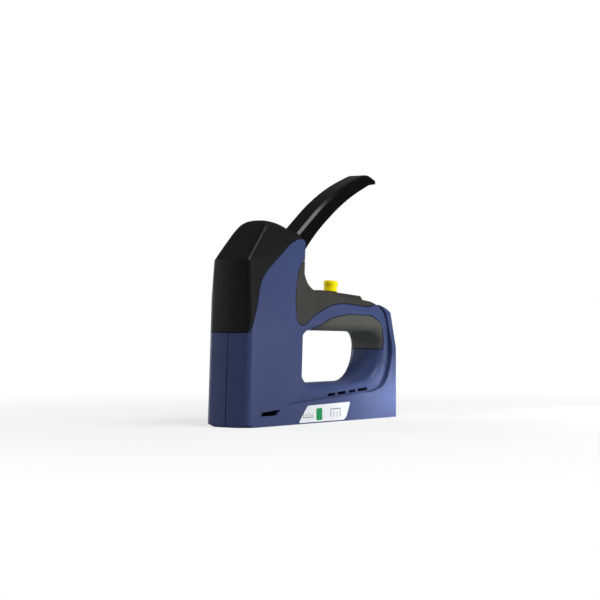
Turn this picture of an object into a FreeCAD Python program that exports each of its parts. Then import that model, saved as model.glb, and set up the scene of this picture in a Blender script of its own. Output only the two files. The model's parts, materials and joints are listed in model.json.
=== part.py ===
import FreeCAD, Part
import math
import os

# Hand-squeezed staple tacker, nose towards -X, lever over the handle bar, resting on its sole.
# Stations run rearwards along the tool, heights run up from the sole, widths are across (Y).
# The model frame has its origin on the sole, midway along and across the tool.

V = FreeCAD.Vector

# ---- overall form -------------------------------------------------------------------------
foot_front = -4.5        # station of the nose's foot
rear_end = 177.5         # station of the rear face
body_width = 38.6        # width of the sole, the lower body and the rear column
handle_width = 32.4      # width of the handle ring inside the scooped sides
column_top_width = 31.6  # width of the rear column at its top
nose_lean = 5.5          # how far the nose face leans back up to the brow
dome_height = 146.6      # highest point of the crown, before rounding
crown_rise = 29.1        # the crown above the crease at the top of the nose face
brow_height = dome_height - crown_rise
dome_front = 27.6        # station of the crown's front shoulder
brow_rounding = 4.5      # rounding of the edges beside the sloping brow
crown_lean = 0.0977      # how much each side of the crown leans in, per height
crown_rounding = 13.5    # rounding along the crown's top edges
brow_corner = 3.0        # rounding of the cap's narrowed front corners
nose_rear = 71.0         # station of the nose's rear face, above the handle bar
bar_height = 98.7        # top of the handle bar where it meets the nose
bar_fall = 13.0          # drop of the bar's top from the nose to the rear end
hole_front = 64.5        # finger loop, measured on the centre plane
hole_rear = 161.5
hole_top = 67.5
hole_floor = 28.0
taper_start = 72.0       # above this height the nose narrows
nose_taper = 2.6         # narrowing of each side up to the brow
column_taper_start = 52.0
column_top_rise = 38.0   # height over which the column narrows
front_corner = 5.0       # rounding of the nose's vertical corners
nose_bow = 6.5           # degrees that the nose face turns between its middle and a corner
crotch_radius = 20.0
shoulder_radius = 24.0
bar_rounding = 11.0      # rounding along the top of the bar and down the nose's rear
loop_rounding = 7.0      # rounding round the finger loop
column_rounding = 3.5    # rounding of the rear column's upright corners
column_top_rounding = 10.5
column_crown = 12.0      # rounding along the column's top
foot_relief = 3.2        # bevel under the nose's front corners

# ---- walls, seams and fits ----------------------------------------------------------------
wall = 2.4               # moulded wall
skin = 2.0               # soft-touch skin over the wall
seam = 0.7               # open groove between neighbouring mouldings
slit_height = 18.4       # underside of the foremost slit over the magazine
slit_rise = 0.062        # rise of the row of slits, per length
slit_width = 2.2
seam_depth = 1.1         # depth of the groove down the nose, where the halves meet
fit = 0.05               # radial clearance of a turning fit
slip = 0.3               # clearance between parts that slide on each other
seat = 0.02              # radial clearance of a pin in a moulded seat

# ---- drive: lever, plunger, spring --------------------------------------------------------
pivot_station = 56.0
pivot_height = 112.0
lever_swing = 38.0       # degrees from rest to fully squeezed
lift_radius = 24.0       # pivot to lift roller
lever_width = 17.0
lever_wall = 2.1
lever_edge = 1.8         # bevel along the top of the lever
lever_tip_rounding = 6.5  # rounding of the lever's tip in plan
lever_pin_d = 6.0
pin_seat_end = 13.2      # half length of the pivot pin's seat
rivet_d = 4.0
cheek_thickness = 1.8
roller_d = 6.4
roller_pin_d = 3.0
spring_station = 17.0
spring_od = 16.0
spring_wire = 2.6
spring_turns = 8.5
plunger_floor = 62.3     # underside of the plunger at rest
plunger_height = 7.7
plunger_width = 17.2
spring_top = 115.0
bumper_floor = 58.0      # ledge under the plunger's bumper
blade_station = 2.7      # front face of the driver blade
blade_thickness = 1.3
blade_width = 10.6
guide_plate = 1.2
nose_plate_thickness = 1.4
nose_plate_width = 16.0

# ---- magazine -----------------------------------------------------------------------------
channel_width = 13.3
channel_wall = 1.2
channel_base = 0.4
channel_height = 17.1
channel_rear = 168.0
core_width = 8.6
core_wall = 1.0
core_base = 1.4
core_height = 13.4
pusher_length = 18.0
end_cap_width = 18.0

latch_station = 167.0
latch_height = 24.5
latch_width = 12.0
latch_pin_d = 3.0

# ---- selector on the bar ------------------------------------------------------------------
knob_station = 117.0
knob_d = 11.0
knob_height = 8.0
knob_neck_d = 4.0
knob_step = 9.0          # one detent step; there is one step each way from the middle
island_width = 14.0
island_front = 95.0
island_rear = 149.5
island_rise = 1.2        # island above the bar at its front
island_lift = 2.8        # and at its rear

# ---- fasteners ----------------------------------------------------------------------------
screw_d = 3.0
screw_head_d = 5.6
screw_head_height = 2.2
screw_reach = 12.0       # length of the screw's thread past the centre plane
boss_d = 8.0

os.makedirs("parts", exist_ok=True)

middle = (foot_front + rear_end) / 2
body_half = body_width / 2
handle_half = handle_width / 2
lever_half = lever_width / 2
rivet_end = lever_half - 0.8
channel_half = channel_width / 2
core_half = core_width / 2
bar_slope = math.atan2(bar_fall, rear_end - nose_rear)
far = 400.0              # larger than the tool, for cutting blocks
handle_front = foot_front + 24   # where the handle ring and the plinth start inside the nose


def at(station, y, height):
    return V(station - middle, y, height)


# ---- drawing helpers ----------------------------------------------------------------------

def shifted(points, distance):
    """The outline with every side moved inwards by a distance; corner radii follow."""
    if abs(distance) < 1e-9:
        return points
    count = len(points)
    area = 0.0
    lines = []
    for index in range(count):
        a0, b0 = points[index][:2]
        a1, b1 = points[(index + 1) % count][:2]
        area += a0 * b1 - a1 * b0
    sense = 1 if area > 0 else -1
    for index in range(count):
        a0, b0 = points[index][:2]
        a1, b1 = points[(index + 1) % count][:2]
        length = math.hypot(a1 - a0, b1 - b0)
        da, db = (a1 - a0) / length, (b1 - b0) / length
        lines.append((a0 - db * sense * distance, b0 + da * sense * distance, da, db))
    result = []
    for index in range(count):
        a0, b0, da0, db0 = lines[index - 1]
        a1, b1, da1, db1 = lines[index]
        turn = da0 * db1 - db0 * da1
        along = ((a1 - a0) * db1 - (b1 - b0) * da1) / turn
        radius = points[index][2]
        if radius > 0:
            radius = max(radius - distance if turn * sense > 0 else radius + distance, 0.2)
        result.append((a0 + da0 * along, b0 + db0 * along, radius))
    return result


def outward_corners(points):
    """For each corner of an outline, whether it points outwards."""
    count = len(points)
    turns = []
    area = 0.0
    for index in range(count):
        a0, b0 = points[index - 1][:2]
        a1, b1 = points[index][:2]
        a2, b2 = points[(index + 1) % count][:2]
        area += a0 * b1 - a1 * b0
        turns.append((a1 - a0) * (b2 - b1) - (b1 - b0) * (a2 - a1))
    return [turn * area > 0 for turn in turns]


def rounded(points, place, arcs=True):
    """A closed wire through (a, b, corner radius) points, placed by a function of a and b.

    Without arcs, corners that point outwards are cut straight across instead of rounded."""
    corners = [place(a, b) for a, b, _ in points]
    outward = outward_corners(points)
    count = len(corners)
    starts = []
    ends = []
    edges = []
    for index, corner in enumerate(corners):
        radius = points[index][2]
        if radius <= 0:
            starts.append(corner)
            ends.append(corner)
            continue
        back = (corners[index - 1] - corner).normalize()
        forth = (corners[(index + 1) % count] - corner).normalize()
        half = back.getAngle(forth) / 2
        reach = radius / math.tan(half)
        centre = corner + (back + forth).normalize() * (radius / math.sin(half))
        crest = centre + (corner - centre).normalize() * radius
        starts.append(corner + back * reach)
        ends.append(corner + forth * reach)
        if arcs or not outward[index]:
            edges.append(Part.Arc(starts[-1], crest, ends[-1]).toShape())
        else:
            edges.append(Part.makeLine(starts[-1], ends[-1]))
    for index in range(count):
        a = ends[index]
        b = starts[(index + 1) % count]
        if a.distanceToPoint(b) > 1e-6:
            edges.append(Part.makeLine(a, b))
    return Part.Wire(Part.__sortEdges__(edges))


def side(points, y0, y1, arcs=True):
    """A side-view outline of (station, height, radius) points carried across the tool."""
    wire = rounded(points, lambda a, b: at(a, y0, b), arcs)
    return Part.Face(wire).extrude(V(0, y1 - y0, 0))


def across(points, width, arcs=True):
    return side(points, -width / 2, width / 2, arcs)


def along(points, station0, station1, arcs=True):
    """A cross-section outline of (y, height, radius) points carried along the tool."""
    wire = rounded(points, lambda a, b: at(station0, a, b), arcs)
    return Part.Face(wire).extrude(V(station1 - station0, 0, 0))


def upright(points, height0, height1, arcs=True):
    """A plan outline of (station, y, radius) points carried upwards."""
    wire = rounded(points, lambda a, b: at(a, b, height0), arcs)
    return Part.Face(wire).extrude(V(0, 0, height1 - height0))


def block(station0, station1, y0, y1, height0, height1):
    size = V(station1 - station0, y1 - y0, height1 - height0)
    return Part.makeBox(size.x, size.y, size.z, at(station0, y0, height0))


def both(station0, station1, y0, y1, height0, height1):
    """The same block on both sides of the centre plane."""
    left = block(station0, station1, -y1, -y0, height0, height1)
    return left.fuse(block(station0, station1, y0, y1, height0, height1))


def rod_y(station, height, radius, y0, y1):
    return Part.makeCylinder(radius, y1 - y0, at(station, y0, height), V(0, 1, 0))


def rod_z(station, y, radius, height0, height1):
    return Part.makeCylinder(radius, height1 - height0, at(station, y, height0), V(0, 0, 1))


def rod_x(station0, station1, y, height, radius):
    return Part.makeCylinder(radius, station1 - station0, at(station0, y, height), V(1, 0, 0))


def middle_of(edge):
    return edge.valueAt((edge.FirstParameter + edge.LastParameter) / 2)


def side_edges(solid, points, y, gap, keep):
    """Edges of a solid that lie at +y or -y, a gap away from a side-view outline."""
    wires = [rounded(points, lambda a, b: at(a, 0, b), arcs) for arcs in (True, False)]
    found = []
    for edge in solid.Edges:
        spot = middle_of(edge)
        if abs(abs(spot.y) - y) > 1e-3 or not keep(spot):
            continue
        flat_spot = Part.Vertex(V(spot.x, 0, spot.z))
        if any(abs(wire.distToShape(flat_spot)[0] - gap) < 1e-3 for wire in wires):
            found.append(edge)
    return found


def coil(radius, wire_radius, pitch, turns, place, sides=5, steps=8):
    """A helix of many-sided wire standing on a placement, with each turn in straight steps."""
    rings = []
    for index in range(int(round(turns * steps)) + 1):
        turn = 2 * math.pi * index / steps
        ring = []
        for corner in range(sides):
            angle = 2 * math.pi * (corner + 0.5) / sides
            reach = radius + wire_radius * math.cos(angle)
            rise = pitch * index / steps + wire_radius * math.sin(angle)
            ring.append(V(reach * math.cos(turn), reach * math.sin(turn), rise))
        rings.append(ring)
    faces = [facet(rings[0]), facet(rings[-1])]
    for low, high in zip(rings, rings[1:]):
        for corner in range(sides):
            other = (corner + 1) % sides
            faces.append(facet([low[corner], low[other], high[other]]))
            faces.append(facet([low[corner], high[other], high[corner]]))
    solid = Part.Solid(Part.Shell(faces))
    solid.Placement = place
    return solid


def facet(corners):
    return Part.Face(Part.makePolygon(corners + corners[:1]))


# ---- outer form ---------------------------------------------------------------------------

def profile():
    """Side view of the whole body, without the finger loop."""
    return [(foot_front, 0, 0),
            (foot_front + nose_lean, brow_height, 0),
            (dome_front, dome_height, 20),
            (dome_front + 16, dome_height - 2.0, 28),
            (nose_rear - 13, dome_height - 8.6, 25),
            (nose_rear - 2.5, dome_height - 15.9, 6),
            (nose_rear, dome_height - 22.5, 3),
            (nose_rear, bar_height, crotch_radius),
            (rear_end, bar_height - bar_fall, shoulder_radius),
            (rear_end, 0, 0)]


def loop_outline():
    """Side view of the finger loop on the centre plane."""
    return [(hole_front, hole_top, 13),
            (hole_rear, hole_top - 2.5, 11),
            (hole_rear - 0.5, hole_floor, 26),
            (hole_front + 0.5, hole_floor, 13)]


def handle_outline():
    """Side view of the handle ring, running up past the crown to carry its edge rounding."""
    low = -5.0
    high = dome_height + 40
    return [(handle_front, low, 0), (handle_front, high, 0), (nose_rear, high, 0),
            (nose_rear, bar_height, crotch_radius),
            (rear_end, bar_height - bar_fall, shoulder_radius),
            (rear_end, low, 0)]


def scoop_outline():
    """Side view of the full-width part: plinth below the loop and column behind it."""
    return [(25, -5, 0), (25, 13.6, 0), (57, 15.4, 30), (91, 17.3, 60), (143, 20.2, 40),
            (hole_rear + 0.5, 24, 16), (hole_rear + 10, 50, 40), (hole_rear + 3.5, 84, 0),
            (hole_rear + 3.5, bar_height, 0), (rear_end + 13, bar_height, 0),
            (rear_end + 13, -5, 0)]


def crown_half(height):
    """Half width of the crown's leaning sides at a height."""
    return body_half - nose_taper - (height - brow_height) * crown_lean


def crown_section():
    """Front view of the crown: leaning sides and a rounded top."""
    top = dome_height + 0.5
    return [(crown_half(0), 0, 0), (crown_half(top), top, crown_rounding),
            (-crown_half(top), top, crown_rounding), (-crown_half(0), 0, 0)]


def rounding_cut(corner, run, first_normal, second_normal, radius, arcs=True):
    """What rounding off a straight edge takes away: it starts at a corner and runs along."""
    diagonal = first_normal + second_normal
    centre = corner - diagonal * (radius / (1 + first_normal.dot(second_normal)))
    crest = centre + V(diagonal).normalize() * radius
    first = centre + first_normal * radius
    last = centre + second_normal * radius
    beyond = [last, last + second_normal * radius, centre + diagonal * 3 * radius,
              first + first_normal * radius, first]
    edges = [Part.Arc(first, crest, last).toShape() if arcs else Part.makeLine(first, last)]
    edges += [Part.makeLine(a, b) for a, b in zip(beyond, beyond[1:])]
    return Part.Face(Part.Wire(edges)).extrude(run)


def brow_edge_cut(sign):
    """Rounds the edge between the sloping brow and one side of the crown."""
    corner = at(foot_front + nose_lean, sign * crown_half(brow_height), brow_height)
    slope = V(dome_front - foot_front - nose_lean, 0, dome_height - brow_height)
    slope_normal = V(-slope.z, 0, slope.x).normalize()
    side_normal = V(0, sign, crown_lean).normalize()
    run = slope_normal.cross(side_normal).normalize() * (-sign * slope.Length)
    return rounding_cut(corner - run, run * 3, slope_normal, side_normal, brow_rounding)


def column_half(height):
    """Half width of the rear column at a height above the start of its taper."""
    fall = (body_half - column_top_width / 2) / column_top_rise
    return body_half - (height - column_taper_start) * fall


def column_section():
    """Front view of the column: upright, then leaning in, with a top like the bar's."""
    top = bar_height - bar_fall + 1.0
    return [(body_half, -5, 0), (body_half, column_taper_start, 0),
            (column_half(top), top, column_crown), (-column_half(top), top, column_crown),
            (-body_half, column_taper_start, 0), (-body_half, -5, 0)]


def column_edge_cut(sign, inset):
    """Widens the rounding of one rear corner of the column, little by little towards its top."""
    top = bar_height - bar_fall + wall
    spare = (column_top_rounding - column_rounding) * (1 - math.sqrt(0.5))
    rear = rear_end - inset
    corner = at(rear + spare, sign * (body_half - inset + spare), column_taper_start)
    crest = at(rear, sign * (column_half(top) - inset), top)
    return rounding_cut(corner, crest - corner, V(1, 0, 0), V(0, sign, 0),
                        column_top_rounding - inset, not inset)


def nose_plan(inset):
    """Level section of the nose: bowed face, rounded corners, sides that ramp in rearwards."""
    front = foot_front + inset
    half = body_half - inset
    corner = max(front_corner - inset, 0.4)
    bow = math.radians(nose_bow)
    turned = (bow + math.pi / 2) / 2
    corner_y = half - corner * (1 - math.sin(bow))
    face_radius = corner_y / math.sin(bow)
    corner_u = front + face_radius * (1 - math.cos(bow))
    crest_u = corner_u + corner * (math.cos(bow) - math.cos(turned))
    crest_y = corner_y + corner * (math.sin(turned) - math.sin(bow))
    side_u = corner_u + corner * math.cos(bow)
    chain = [(side_u, half), (foot_front + 42, half),
             (foot_front + 66, handle_half - inset - 0.9)]
    chain += [(u, -y) for u, y in reversed(chain)]
    edges = [Part.Arc(at(corner_u, -corner_y, 0), at(front, 0, 0),
                      at(corner_u, corner_y, 0)).toShape(),
             corner_edge(at(corner_u, corner_y, 0), at(crest_u, crest_y, 0),
                         at(side_u, half, 0), inset)]
    for (u0, y0), (u1, y1) in zip(chain, chain[1:]):
        edges.append(Part.makeLine(at(u0, y0, 0), at(u1, y1, 0)))
    edges.append(corner_edge(at(side_u, -half, 0), at(crest_u, -crest_y, 0),
                             at(corner_u, -corner_y, 0), inset))
    return Part.Wire(edges)


def corner_edge(start, crest, end, inset):
    """Rounded on the outer form, cut straight across on the hidden inner ones."""
    if inset:
        return Part.makeLine(start, end)
    return Part.Arc(start, crest, end).toShape()


def leaned(solid):
    """Tips a solid back by the lean of the nose face."""
    solid.rotate(at(foot_front, 0, 0), V(0, 1, 0), math.degrees(math.atan(nose_lean / brow_height)))
    return solid


def narrowing(inset):
    """Upright block whose right flank and front corner tip inwards above the taper's start."""
    half = body_half - inset
    bow = math.tan(math.radians(nose_bow))
    front = foot_front + inset + half * bow / 2
    plan = [(front, half, max(brow_corner - inset, 0.4)), (far / 2, half, 0),
            (far / 2, -far / 2, 0), (front - (half + far / 2) * bow, -far / 2, 0)]
    block = upright(plan, -far / 4, far / 2, not inset)
    angle = math.degrees(math.atan(nose_taper / (brow_height - taper_start)))
    block.rotate(at(0, half, taper_start), V(1, 0, 0), angle)
    return leaned(block)


def nose_form(inset):
    nose = Part.Face(nose_plan(inset)).extrude(V(0, 0, dome_height + 24))
    nose.translate(V(0, 0, -8))
    nose = leaned(nose)
    right = narrowing(inset)
    nose = nose.common(right).common(right.mirror(V(0, 0, 0), V(0, 1, 0)))
    nose = nose.common(across(shifted(profile(), inset), 2 * body_width, not inset))
    if inset:
        return nose
    for sign in (-1, 1):
        nose = nose.cut(brow_edge_cut(sign)).cut(foot_relief_cut(sign))
    return nose


def foot_relief_cut(sign):
    """Bevel that lifts one front corner of the nose off the sole."""
    reach = 3 * foot_relief
    corner = at(foot_front, sign * body_half, 0)
    tip = corner + V(reach, 0, 0)
    flank = corner - V(0, sign * reach, 0)
    rise = corner + V(0, 0, foot_relief)
    faces = [facet([corner, tip, flank]), facet([corner, tip, rise]),
             facet([corner, flank, rise]), facet([tip, flank, rise])]
    wedge = Part.Solid(Part.Shell(faces))
    return wedge


def eased(solid, radius, outline, y, keep, inset):
    """Edges along an outline eased in three flats round a radius, or in one where hidden."""
    first = (2 - math.sqrt(2)) * (radius - inset)
    solid = solid.makeChamfer(first, side_edges(solid, outline, y, 0, keep))
    if inset:
        return solid
    second = radius * (math.tan(math.pi / 8) - math.tan(math.pi / 16))
    edges = side_edges(solid, outline, y - first, 0, keep)
    edges += side_edges(solid, outline, y, first, keep)
    return solid.makeChamfer(second, edges)


def handle_form(inset):
    """The handle ring: eased outer edges crossed with a slab eased round the loop."""
    half = handle_half - inset
    outline = shifted(handle_outline(), inset)
    loop = shifted(loop_outline(), -inset)

    def on_rear(spot):
        return spot.x > nose_rear - inset - bar_rounding - middle and -4 < spot.z < far / 2

    ring = side(outline, -half, half, not inset)
    ring = eased(ring, bar_rounding, outline, half, on_rear, inset)
    slab = block(-far / 2, far, -half, half, -far / 4, far)
    slab = slab.cut(side(loop, -half - 1, half + 1))
    slab = eased(slab, loop_rounding, loop, half, lambda spot: True, inset)
    solid = ring.common(slab)
    return solid.common(across(shifted(profile(), inset), 2 * body_width, not inset))


def plinth_form(inset):
    """The full-width plinth and rear column, whose upper part narrows towards the bar."""
    half = body_half - inset
    rear = rear_end - inset
    corner = max(column_rounding - inset, 0.5)
    plan = [(handle_front, -half, 0), (rear, -half, corner), (rear, half, corner),
            (handle_front, half, 0)]
    solid = upright(plan, -5, bar_height, not inset)
    solid = solid.common(along(shifted(column_section(), inset), -far / 2, far, not inset))
    for outline in (scoop_outline(), profile()):
        solid = solid.common(across(shifted(outline, inset), 2 * body_width, not inset))
    return solid.cut(column_edge_cut(-1, inset)).cut(column_edge_cut(1, inset))


def envelope(inset):
    """The body's outer form, or the same form a wall's thickness inside it."""
    crown = along(shifted(crown_section(), inset), -far / 2, far, not inset)
    upper = nose_form(inset).fuse(handle_form(inset)).common(crown)
    solid = upper.fuse(plinth_form(inset)).removeSplitter()
    return solid.common(block(-far / 2, far, -far, far, inset, far))


# ---- regions of the outer form ------------------------------------------------------------

def cap_region():
    """Side view of what the black nose cap covers."""
    return [(foot_front - 20, 66.5, 0), (0.8, 66.5, 2), (9.0, 86, 30), (13.5, 101.5, 22),
            (21.5, 110, 30), (50, 129.6, 18), (59.5, 133.2, 6), (nose_rear + 15, 133.2, 0),
            (nose_rear + 15, dome_height + 20, 0), (foot_front - 20, dome_height + 20, 0)]


def saddle_region():
    """Side view of the soft saddle over the crotch and the bar's top."""
    return [(nose_rear + 5, 118, 0), (63.5, 117.5, 3), (57.2, 109.5, 7), (53.2, 91, 40),
            (56.2, 72.6, 6), (65.5, 70.6, 5), (78, 78.6, 30), (96, 85, 40), (112, 86.8, 60),
            (146, 84, 40), (166, 86.8, 0), (166, dome_height, 0), (nose_rear + 5, dome_height, 0)]


def finger_region():
    """Side view of the finger grip under the bar and down the loop's rear wall."""
    return [(75, 62, 0), (82, 69.5, 6), (98, 76, 20), (120, 78.7, 60), (147, 77.6, 12),
            (160.2, 72, 10), (164.5, 58, 4), (163.9, 52, 0), (hole_rear - 12, 52, 0),
            (hole_rear - 14, 58, 0)]


# ---- the mouldings ------------------------------------------------------------------------

outer = envelope(0)
under_skin = envelope(skin)
inner = envelope(wall)


def cavity():
    """Hollow of the body: a wall inside the form, and deeper where a skin lies over the wall."""
    zone = block(50, far, -far, far, 50, brow_height)
    deep = nose_form(wall + skin).fuse(handle_form(wall + skin))
    return inner.cut(zone).fuse(deep.common(zone))


hollow = cavity()


def lever_slot(depth):
    """Opening in the nose's rear for the lever, cut a given depth into it."""
    half = lever_half + 0.8
    return block(nose_rear - depth, nose_rear + 12, -half, half,
                 pivot_height - 7.5, dome_height + 5)


def magazine_opening():
    """Slot in the sole for the channel, and the end cap's opening in the rear wall."""
    half = channel_half + 0.35
    slot = block(blade_station, rear_end + 5, -half, half, -1, wall + 1)
    slot = slot.fuse(block(nose_plate_front() - 0.1, blade_station + 5,
                           -nose_plate_width / 2 - 0.1, nose_plate_width / 2 + 0.1, -1, wall + 1))
    rear_half = end_cap_width / 2 + 0.3
    return slot.fuse(block(channel_rear - 0.5, rear_end + 5, -rear_half, rear_half, -1, 18.4))


def nose_plate_front():
    return blade_station - slip - nose_plate_thickness


def latch_opening():
    return block(rear_end - 8, rear_end + 5, -6.3, 6.3, 18.3, 33.6)


def selector_frame(shape):
    """Moves a shape built about the origin onto the bar's sloping top at the knob."""
    rise = bar_height - (knob_station - nose_rear) * math.tan(bar_slope)
    shape = shape.copy()
    shape.Placement = FreeCAD.Placement(
        at(knob_station, 0, rise), FreeCAD.Rotation(V(0, 1, 0), math.degrees(bar_slope)))
    return shape


def selector_slot(width):
    """Slot along the bar for the knob's neck."""
    half = knob_step + width / 2
    straight = Part.makeBox(2 * half - width, width, 14, V(-half + width / 2, -width / 2, -8))
    for end in (-1, 1):
        straight = straight.fuse(Part.makeCylinder(
            width / 2, 14, V(end * (half - width / 2), 0, -8), V(0, 0, 1)))
    return selector_frame(straight)


screw_places = ((13, 38), (46, 42), (45, 84), (171.5, 41), (171.5, 63))


def ribs():
    """Ribs, ledges, bosses and pin seats inside the body, each longer than the room for it."""
    near = far / 4
    spring_bay = pivot_height - 20
    found = [block(spring_station - 9.5, spring_station + 10.5, -near, near,
                   bumper_floor - 4, bumper_floor)]
    for station in (spring_station - 6, spring_station + 4):
        found.append(both(station, station + 2, plunger_width / 2 + slip + guide_plate + 0.1, near,
                          bumper_floor, spring_bay))
    for height in (10, 36):
        found.append(block(-near, nose_plate_front(), -nose_plate_width / 2, nose_plate_width / 2,
                           height, height + 4))
    channel_top = channel_base + channel_height
    for station in (30, 62, 104, 146):
        found.append(block(station, station + wall, -near, near, channel_top + 0.1,
                           channel_top + 3.5))
    for station, height in screw_places:
        found.append(boss(station, height, boss_d / 2))
    pivot_boss = boss(pivot_station, pivot_height, lever_pin_d / 2 + 3)
    found.append(pivot_boss.cut(both(-near, near, 0, lever_half + 0.5, 0, far)))
    found.append(boss(pivot_station + 7.5, pivot_height - 13.4, 1.2))
    latch_boss = boss(latch_station, latch_height, latch_pin_d / 2 + 1.7)
    found.append(latch_boss.cut(both(0, far, 0, latch_width / 2 + slip, 0, far)))
    return found


def boss(station, height, radius, y0=-far / 4, y1=far / 4):
    """Eight-sided boss or bore across the tool, with its flats at a radius."""
    corners = []
    for step in range(8):
        angle = math.radians(22.5 + 45 * step)
        reach = radius / math.cos(math.radians(22.5))
        corners.append((station + reach * math.cos(angle), height + reach * math.sin(angle), 0))
    return side(corners, y0, y1)


def sight_openings():
    """Windows at the nose and along the magazine, that show how many staples are left."""
    window = [(12, 7.5, 0), (29, 7.5, 0), (34, 11.6, 0), (12, 10.2, 0)]
    outlines = [window]
    for station0, station1 in ((93, 102), (105, 115), (119, 127), (130, 142)):
        low0 = slit_height + (station0 - 93) * slit_rise
        low1 = slit_height + (station1 - 93) * slit_rise
        outlines.append([(station0, low0, 0), (station1, low1, 0),
                         (station1, low1 + slit_width, 0), (station0, low0 + slit_width, 0)])
    return [across(outline, 2 * body_width) for outline in outlines]


def body_shell():
    """Both halves of the blue body as one moulding, before they are parted."""
    body = outer.cut(across(shifted(cap_region(), -seam / 2), 2 * body_width))
    skinned = outer.cut(under_skin)
    for region in (saddle_region(), finger_region()):
        body = body.cut(skinned.common(across(shifted(region, -seam / 2), 2 * body_width)))
    body = body.cut(hollow)
    inside = under_skin.cut(across(shifted(cap_region(), -seam / 2 - 0.5), far))
    for rib in ribs():
        body = body.fuse(rib.common(inside))
    openings = [lever_slot(bar_rounding), magazine_opening(), latch_opening(),
                selector_slot(knob_neck_d + 1),
                rod_y(pivot_station, pivot_height, lever_pin_d / 2 + seat,
                      -pin_seat_end, pin_seat_end),
                rod_y(latch_station, latch_height, latch_pin_d / 2 + seat, -10, 10)]
    for opening in openings + sight_openings():
        body = body.cut(opening)
    return body.removeSplitter()


def parting_groove():
    """Shallow groove round the outside of the body where its two halves meet."""
    groove = block(-far, far, -seam / 2, seam / 2, -far, far)
    return groove.cut(across(shifted(profile(), seam_depth), body_width, False))


def shells():
    """The two halves: screw heads sink into the right one, and thread into the left one."""
    body = body_shell().cut(parting_groove())
    left = body.common(block(-far, far, -far, 0, -far, far))
    right = body.common(block(-far, far, 0, far, -far, far))
    for station, height in screw_places:
        right = right.cut(boss(station, height, screw_d / 2 + seat, -1, screw_head_seat() + 1))
        right = right.cut(rod_y(station, height, screw_head_d / 2 + 0.2,
                                screw_head_seat(), far / 4))
        left = left.cut(boss(station, height, screw_d / 2 + seat, -screw_reach - 0.2, 1))
    return left, right


def screw_head_seat():
    return handle_half - 4.2


def screws():
    solids = []
    for station, height in screw_places:
        seat_y = screw_head_seat()
        shank = rod_y(station, height, screw_d / 2, -screw_reach, seat_y)
        head = rod_y(station, height, screw_head_d / 2, seat_y, seat_y + screw_head_height)
        recess = rod_y(station, height, 1.3, seat_y + screw_head_height - 1.2, seat_y + 9)
        solids.append(shank.fuse(head).cut(recess))
    return Part.makeCompound(solids)


def nose_cap():
    cap = outer.common(across(shifted(cap_region(), seam / 2), 2 * body_width))
    return cap.cut(inner).cut(lever_slot(wall + 7)).removeSplitter()


def grip_saddle():
    skinned = outer.cut(under_skin)
    saddle = skinned.common(across(shifted(saddle_region(), seam / 2), 2 * body_width))
    return saddle.cut(lever_slot(bar_rounding)).cut(selector_slot(knob_neck_d + 1.4)).removeSplitter()


def finger_grip():
    skinned = outer.cut(under_skin)
    return skinned.common(across(shifted(finger_region(), seam / 2), 2 * body_width))


# ---- selector -----------------------------------------------------------------------------

def bar_top(station):
    return bar_height - (station - nose_rear) * math.tan(bar_slope)


def selector_plate():
    """The raised island on the bar, seated on the saddle, with the knob's slot."""
    tail = island_rear - 2.5
    points = [(island_front, bar_top(island_front) - 3, 0),
              (island_front, bar_top(island_front) + 0.2, 0),
              (island_front + 3, bar_top(island_front + 3) + island_rise, 3),
              (tail, bar_top(tail) + island_lift, 2.5),
              (island_rear, bar_top(island_rear) + 0.2, 0),
              (island_rear, bar_top(island_rear) - 3, 0)]
    plate = across(points, island_width)
    lengthways = [edge for edge in plate.Edges
                  if abs(abs(middle_of(edge).y) - island_width / 2) < 1e-3
                  and middle_of(edge).z > bar_top(middle_of(edge).x + middle) + 0.6
                  and edge.Length > 20]
    plate = plate.makeChamfer(0.8, lengthways)
    return plate.cut(outer).cut(selector_slot(knob_neck_d + 0.8))


def selector_knob():
    """Thumb knob, slightly waisted, on a flat neck that drops through the slot."""
    foot = island_rise + island_lift / 2 - 0.1
    radius = knob_d / 2
    outline = [V(0, 0, foot), V(radius - 0.3, 0, foot), V(radius - 0.6, 0, foot + 3),
               V(radius, 0, foot + knob_height - 1.6), V(radius - 0.4, 0, foot + knob_height - 0.4),
               V(radius - 1.3, 0, foot + knob_height), V(0, 0, foot + knob_height)]
    knob = Part.Face(Part.makePolygon(outline + outline[:1])).revolve(V(0, 0, 0), V(0, 0, 1), 360)
    neck = Part.makeCylinder(knob_neck_d / 2, foot + 6.0, V(0, 0, -6.0))
    return selector_frame(knob.fuse(neck).removeSplitter())


def selector_bar():
    """Flat bar under the bar's wall, carried by the knob's neck, with a bent-up front tab."""
    bar = Part.makeBox(58, 7, 1.6, V(-50, -3.5, -6.6))
    tab = Part.makeBox(1.6, 7, 4.6, V(-50, -3.5, -11.2))
    bar = bar.fuse(tab).cut(Part.makeCylinder(knob_neck_d / 2 + seat, 6, V(0, 0, -9)))
    return selector_frame(bar.removeSplitter())


def detent_spring():
    """Leaf spring under the selector bar, fixed to the bar's floor wall."""
    leaf = Part.makeBox(26, 6, 0.6, V(-13, -3, -8.6))
    bump = Part.makeCylinder(1.2, 6, V(5.5, -3, -8.4), V(0, 1, 0))
    leg = Part.makeBox(0.6, 6, 5, V(12.4, -3, -13.6))
    return selector_frame(leaf.fuse(bump).fuse(leg).removeSplitter())


# ---- lever --------------------------------------------------------------------------------

def lever_outline():
    """Side view of the lever at rest: hub at the pivot, and an arm that sweeps up and back."""
    points = [(-9.5, 9.5, 9), (54, 57.6, 190), (100, 74, 24), (109.5, 71.5, 2),
              (111.5, 65.9, 0), (98.5, 64.3, 15), (68.4, 51.6, 195), (32.2, 26.3, 160),
              (8.5, 1.9, 0), (8.5, -9, 7), (-9.5, -9, 8)]
    return [(pivot_station + u, pivot_height + z, radius) for u, z, radius in points]


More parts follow.
